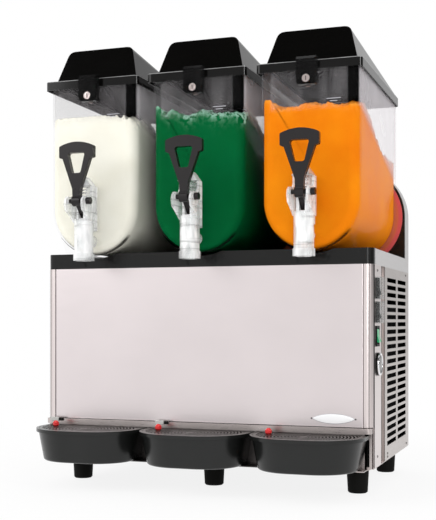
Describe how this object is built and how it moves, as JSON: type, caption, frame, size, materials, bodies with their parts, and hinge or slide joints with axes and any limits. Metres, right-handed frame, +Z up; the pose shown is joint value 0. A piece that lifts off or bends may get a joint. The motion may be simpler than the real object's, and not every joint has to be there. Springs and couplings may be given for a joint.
{
  "type": "slush machine",
  "caption": "Counter-top slush machine: louvred steel cabinet on rubber feet, clear lidded bowls with helical augers, lever taps, and drip trays that slide out.",
  "frame": {"origin": "centre of the footprint on the floor, halfway between the trays' front and the cabinet's rear", "axes": "+Z up, +Y from the taps to the rear, +X to the right seen from the front"},
  "size_m": [0.6104, 0.475, 0.785],
  "materials": {
    "stainless": "fine brushed",
    "grey_shell": "satin",
    "black_deck": "satin",
    "black_gloss": "glossy",
    "black_tray": "satin",
    "clear": "clear, glossy",
    "smoked": "smoked, glossy",
    "red_rubber": "matt",
    "red_plastic": "glossy",
    "black_rubber": "matt",
    "chrome": "polished",
    "spring_steel": "drawn wire",
    "white_plastic": "satin",
    "evaporator_steel": "polished",
    "cast_grey": "cast",
    "black_paint": "satin",
    "fin_aluminium": "fins",
    "galvanised": "sheet",
    "copper": "drawn tube",
    "green_plastic": "glossy"
  },
  "bodies": {
    "case": {"base_frame": "stainless", "front_panel": "stainless", "corner_posts": "stainless", "side_panels": "stainless", "rear_panel": "stainless", "deck": "black_deck", "side_rails": "grey_shell", "tower_shell": "grey_shell", "tower_face": "black_deck", "feet": "black_rubber", "evaporators": "evaporator_steel", "bowl_gaskets": "red_rubber", "gearmotors": "cast_grey", "compressor": "black_paint", "condenser": "fin_aluminium", "fan_shroud": "galvanised", "refrigerant_lines": "copper", "switch_housings": "black_deck", "switch_covers": "clear"},
    "fan": {"fan": "white_plastic"},
    "knob": {"knob": "chrome"},
    "rocker_mixer": {"rocker_mixer": "black_gloss"},
    "rocker_cooling": {"rocker_cooling": "black_gloss"},
    "rocker_main": {"rocker_main": "green_plastic"},
    "bowl_left": {"bowl_left": "clear", "tap_body_left": "clear", "tap_spring_left": "spring_steel"},
    "handle_left": {"tap_handle_left": "black_deck"},
    "piston_left": {"tap_piston_left": "clear"},
    "lid_left": {"lid_left": "black_gloss", "lock_housing_left": "smoked"},
    "lock_left": {"lock_cylinder_left": "chrome"},
    "auger_left": {"auger_left": "white_plastic"},
    "tray_left": {"drip_tray_left": "black_tray"},
    "grille_left": {"drip_grille_left": "black_tray"},
    "float_left": {"level_float_left": "red_plastic"},
    "bowl_middle": {"bowl_middle": "clear", "tap_body_middle": "clear", "tap_spring_middle": "spring_steel"},
    "handle_middle": {"tap_handle_middle": "black_deck"},
    "piston_middle": {"tap_piston_middle": "clear"},
    "lid_middle": {"lid_middle": "black_gloss", "lock_housing_middle": "smoked"},
    "lock_middle": {"lock_cylinder_middle": "chrome"},
    "auger_middle": {"auger_middle": "white_plastic"},
    "tray_middle": {"drip_tray_middle": "black_tray"},
    "grille_middle": {"drip_grille_middle": "black_tray"},
    "float_middle": {"level_float_middle": "red_plastic"},
    "bowl_right": {"bowl_right": "clear", "tap_body_right": "clear", "tap_spring_right": "spring_steel"},
    "handle_right": {"tap_handle_right": "black_deck"},
    "piston_right": {"tap_piston_right": "clear"},
    "lid_right": {"lid_right": "black_gloss", "lock_housing_right": "smoked"},
    "lock_right": {"lock_cylinder_right": "chrome"},
    "auger_right": {"auger_right": "white_plastic"},
    "tray_right": {"drip_tray_right": "black_tray"},
    "grille_right": {"drip_grille_right": "black_tray"},
    "float_right": {"level_float_right": "red_plastic"}
  },
  "joints": [
    {"name": "fan_spin", "type": "hinge", "parent": "case", "child": "fan", "pos_m": [0.224, 0.1045, 0.1837], "axis": [1, 0, 0], "continuous": true},
    {"name": "knob_turn", "type": "hinge", "parent": "case", "child": "knob", "pos_m": [0.3, -0.0875, 0.221], "axis": [1, 0, 0], "range_deg": [-135, 135]},
    {"name": "rocker_mixer_tip", "type": "hinge", "parent": "case", "child": "rocker_mixer", "pos_m": [0.299, -0.092, 0.348], "axis": [0, 1, 0], "range_deg": [0, 20]},
    {"name": "rocker_cooling_tip", "type": "hinge", "parent": "case", "child": "rocker_cooling", "pos_m": [0.299, -0.092, 0.308], "axis": [0, 1, 0], "range_deg": [0, 20]},
    {"name": "rocker_main_tip", "type": "hinge", "parent": "case", "child": "rocker_main", "pos_m": [0.299, -0.092, 0.268], "axis": [0, 1, 0], "range_deg": [0, 20]},
    {"name": "bowl_left_slide", "type": "slide", "parent": "case", "child": "bowl_left", "axis": [0, -1, 0], "range_m": [0, 0.32]},
    {"name": "handle_left_pull", "type": "hinge", "parent": "bowl_left", "child": "handle_left", "pos_m": [-0.198, -0.2095, 0.5], "axis": [1, 0, 0], "range_deg": [0, 40], "stiffness_Nm_per_rad": 1.2, "springref_deg": -20.05},
    {"name": "piston_left_lift", "type": "slide", "parent": "bowl_left", "child": "piston_left", "axis": [0, 0, 1], "range_m": [0, 0.0216], "deforming": ["tap_spring_left"]},
    {"name": "lid_left_lift", "type": "slide", "parent": "bowl_left", "child": "lid_left", "axis": [0, 0, 1], "range_m": [0, 0.09]},
    {"name": "lock_left_turn", "type": "hinge", "parent": "lid_left", "child": "lock_left", "pos_m": [-0.198, -0.1675, 0.69], "axis": [0, 1, 0], "range_deg": [0, 90]},
    {"name": "auger_left_spin", "type": "hinge", "parent": "case", "child": "auger_left", "pos_m": [-0.198, 0.0225, 0.4945], "axis": [0, 1, 0], "continuous": true},
    {"name": "tray_left_slide", "type": "slide", "parent": "case", "child": "tray_left", "axis": [0, -1, 0], "range_m": [0, 0.14]},
    {"name": "grille_left_lift", "type": "slide", "parent": "tray_left", "child": "grille_left", "axis": [0, 0, 1], "range_m": [0, 0.03]},
    {"name": "float_left_rise", "type": "slide", "parent": "tray_left", "child": "float_left", "axis": [0, 0, 1], "range_m": [0, 0.012]},
    {"name": "bowl_middle_slide", "type": "slide", "parent": "case", "child": "bowl_middle", "axis": [0, -1, 0], "range_m": [0, 0.32]},
    {"name": "handle_middle_pull", "type": "hinge", "parent": "bowl_middle", "child": "handle_middle", "pos_m": [0, -0.2095, 0.5], "axis": [1, 0, 0], "range_deg": [0, 40], "stiffness_Nm_per_rad": 1.2, "springref_deg": -20.05},
    {"name": "piston_middle_lift", "type": "slide", "parent": "bowl_middle", "child": "piston_middle", "axis": [0, 0, 1], "range_m": [0, 0.0216], "deforming": ["tap_spring_middle"]},
    {"name": "lid_middle_lift", "type": "slide", "parent": "bowl_middle", "child": "lid_middle", "axis": [0, 0, 1], "range_m": [0, 0.09]},
    {"name": "lock_middle_turn", "type": "hinge", "parent": "lid_middle", "child": "lock_middle", "pos_m": [0, -0.1675, 0.69], "axis": [0, 1, 0], "range_deg": [0, 90]},
    {"name": "auger_middle_spin", "type": "hinge", "parent": "case", "child": "auger_middle", "pos_m": [0, 0.0225, 0.4945], "axis": [0, 1, 0], "continuous": true},
    {"name": "tray_middle_slide", "type": "slide", "parent": "case", "child": "tray_middle", "axis": [0, -1, 0], "range_m": [0, 0.14]},
    {"name": "grille_middle_lift", "type": "slide", "parent": "tray_middle", "child": "grille_middle", "axis": [0, 0, 1], "range_m": [0, 0.03]},
    {"name": "float_middle_rise", "type": "slide", "parent": "tray_middle", "child": "float_middle", "axis": [0, 0, 1], "range_m": [0, 0.012]},
    {"name": "bowl_right_slide", "type": "slide", "parent": "case", "child": "bowl_right", "axis": [0, -1, 0], "range_m": [0, 0.32]},
    {"name": "handle_right_pull", "type": "hinge", "parent": "bowl_right", "child": "handle_right", "pos_m": [0.198, -0.2095, 0.5], "axis": [1, 0, 0], "range_deg": [0, 40], "stiffness_Nm_per_rad": 1.2, "springref_deg": -20.05},
    {"name": "piston_right_lift", "type": "slide", "parent": "bowl_right", "child": "piston_right", "axis": [0, 0, 1], "range_m": [0, 0.0216], "deforming": ["tap_spring_right"]},
    {"name": "lid_right_lift", "type": "slide", "parent": "bowl_right", "child": "lid_right", "axis": [0, 0, 1], "range_m": [0, 0.09]},
    {"name": "lock_right_turn", "type": "hinge", "parent": "lid_right", "child": "lock_right", "pos_m": [0.198, -0.1675, 0.69], "axis": [0, 1, 0], "range_deg": [0, 90]},
    {"name": "auger_right_spin", "type": "hinge", "parent": "case", "child": "auger_right", "pos_m": [0.198, 0.0225, 0.4945], "axis": [0, 1, 0], "continuous": true},
    {"name": "tray_right_slide", "type": "slide", "parent": "case", "child": "tray_right", "axis": [0, -1, 0], "range_m": [0, 0.14]},
    {"name": "grille_right_lift", "type": "slide", "parent": "tray_right", "child": "grille_right", "axis": [0, 0, 1], "range_m": [0, 0.03]},
    {"name": "float_right_rise", "type": "slide", "parent": "tray_right", "child": "float_right", "axis": [0, 0, 1], "range_m": [0, 0.012]}
  ],
  "couplings": [
    {"joint": "piston_left_lift", "follows": "handle_left_pull", "m_per_rad": 0.0307},
    {"joint": "piston_middle_lift", "follows": "handle_middle_pull", "m_per_rad": 0.0307},
    {"joint": "piston_right_lift", "follows": "handle_right_pull", "m_per_rad": 0.0307}
  ]
}
